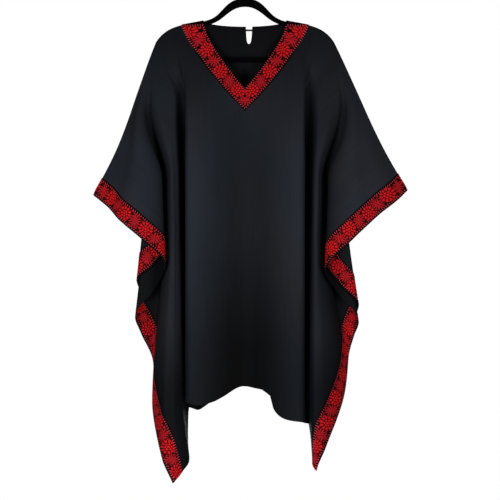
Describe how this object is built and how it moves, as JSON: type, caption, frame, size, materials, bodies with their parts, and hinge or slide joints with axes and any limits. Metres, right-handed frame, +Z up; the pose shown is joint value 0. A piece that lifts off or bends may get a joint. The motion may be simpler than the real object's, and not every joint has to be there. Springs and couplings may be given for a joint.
{
  "type": "kaftan dress on a hanger",
  "caption": "Wide black poncho kaftan with a V neck and red flowered ribbon along neck and side edges, hanging in folds on a flat flocked hanger.",
  "frame": {"origin": "inside top of the hanger's hook, where it rests on a rail", "axes": "+Z up, the garment's front faces -Y, +X to the right seen from the front, the hanger lies in the XZ plane"},
  "size_m": [0.7559, 0.119, 1.2194],
  "materials": {
    "crepe": "matt woven crepe, near black with a cool cast",
    "ribbon": "woven ribbon, crimson flowers and leaves on black",
    "thread": "twisted black thread",
    "button": "black, polished",
    "flock": "black velvet flock",
    "hook_metal": "bright plated wire"
  },
  "bodies": {
    "root": {"front_panel": "crepe", "back_panel": "crepe", "neck_trim": "ribbon", "front_edge_trim_left": "ribbon", "front_edge_trim_right": "ribbon", "back_edge_trim_left": "ribbon", "back_edge_trim_right": "ribbon", "button_loop": "thread", "back_button": "button", "hanger_body": "flock", "hanger_hook": "hook_metal"}
  },
  "joints": []
}
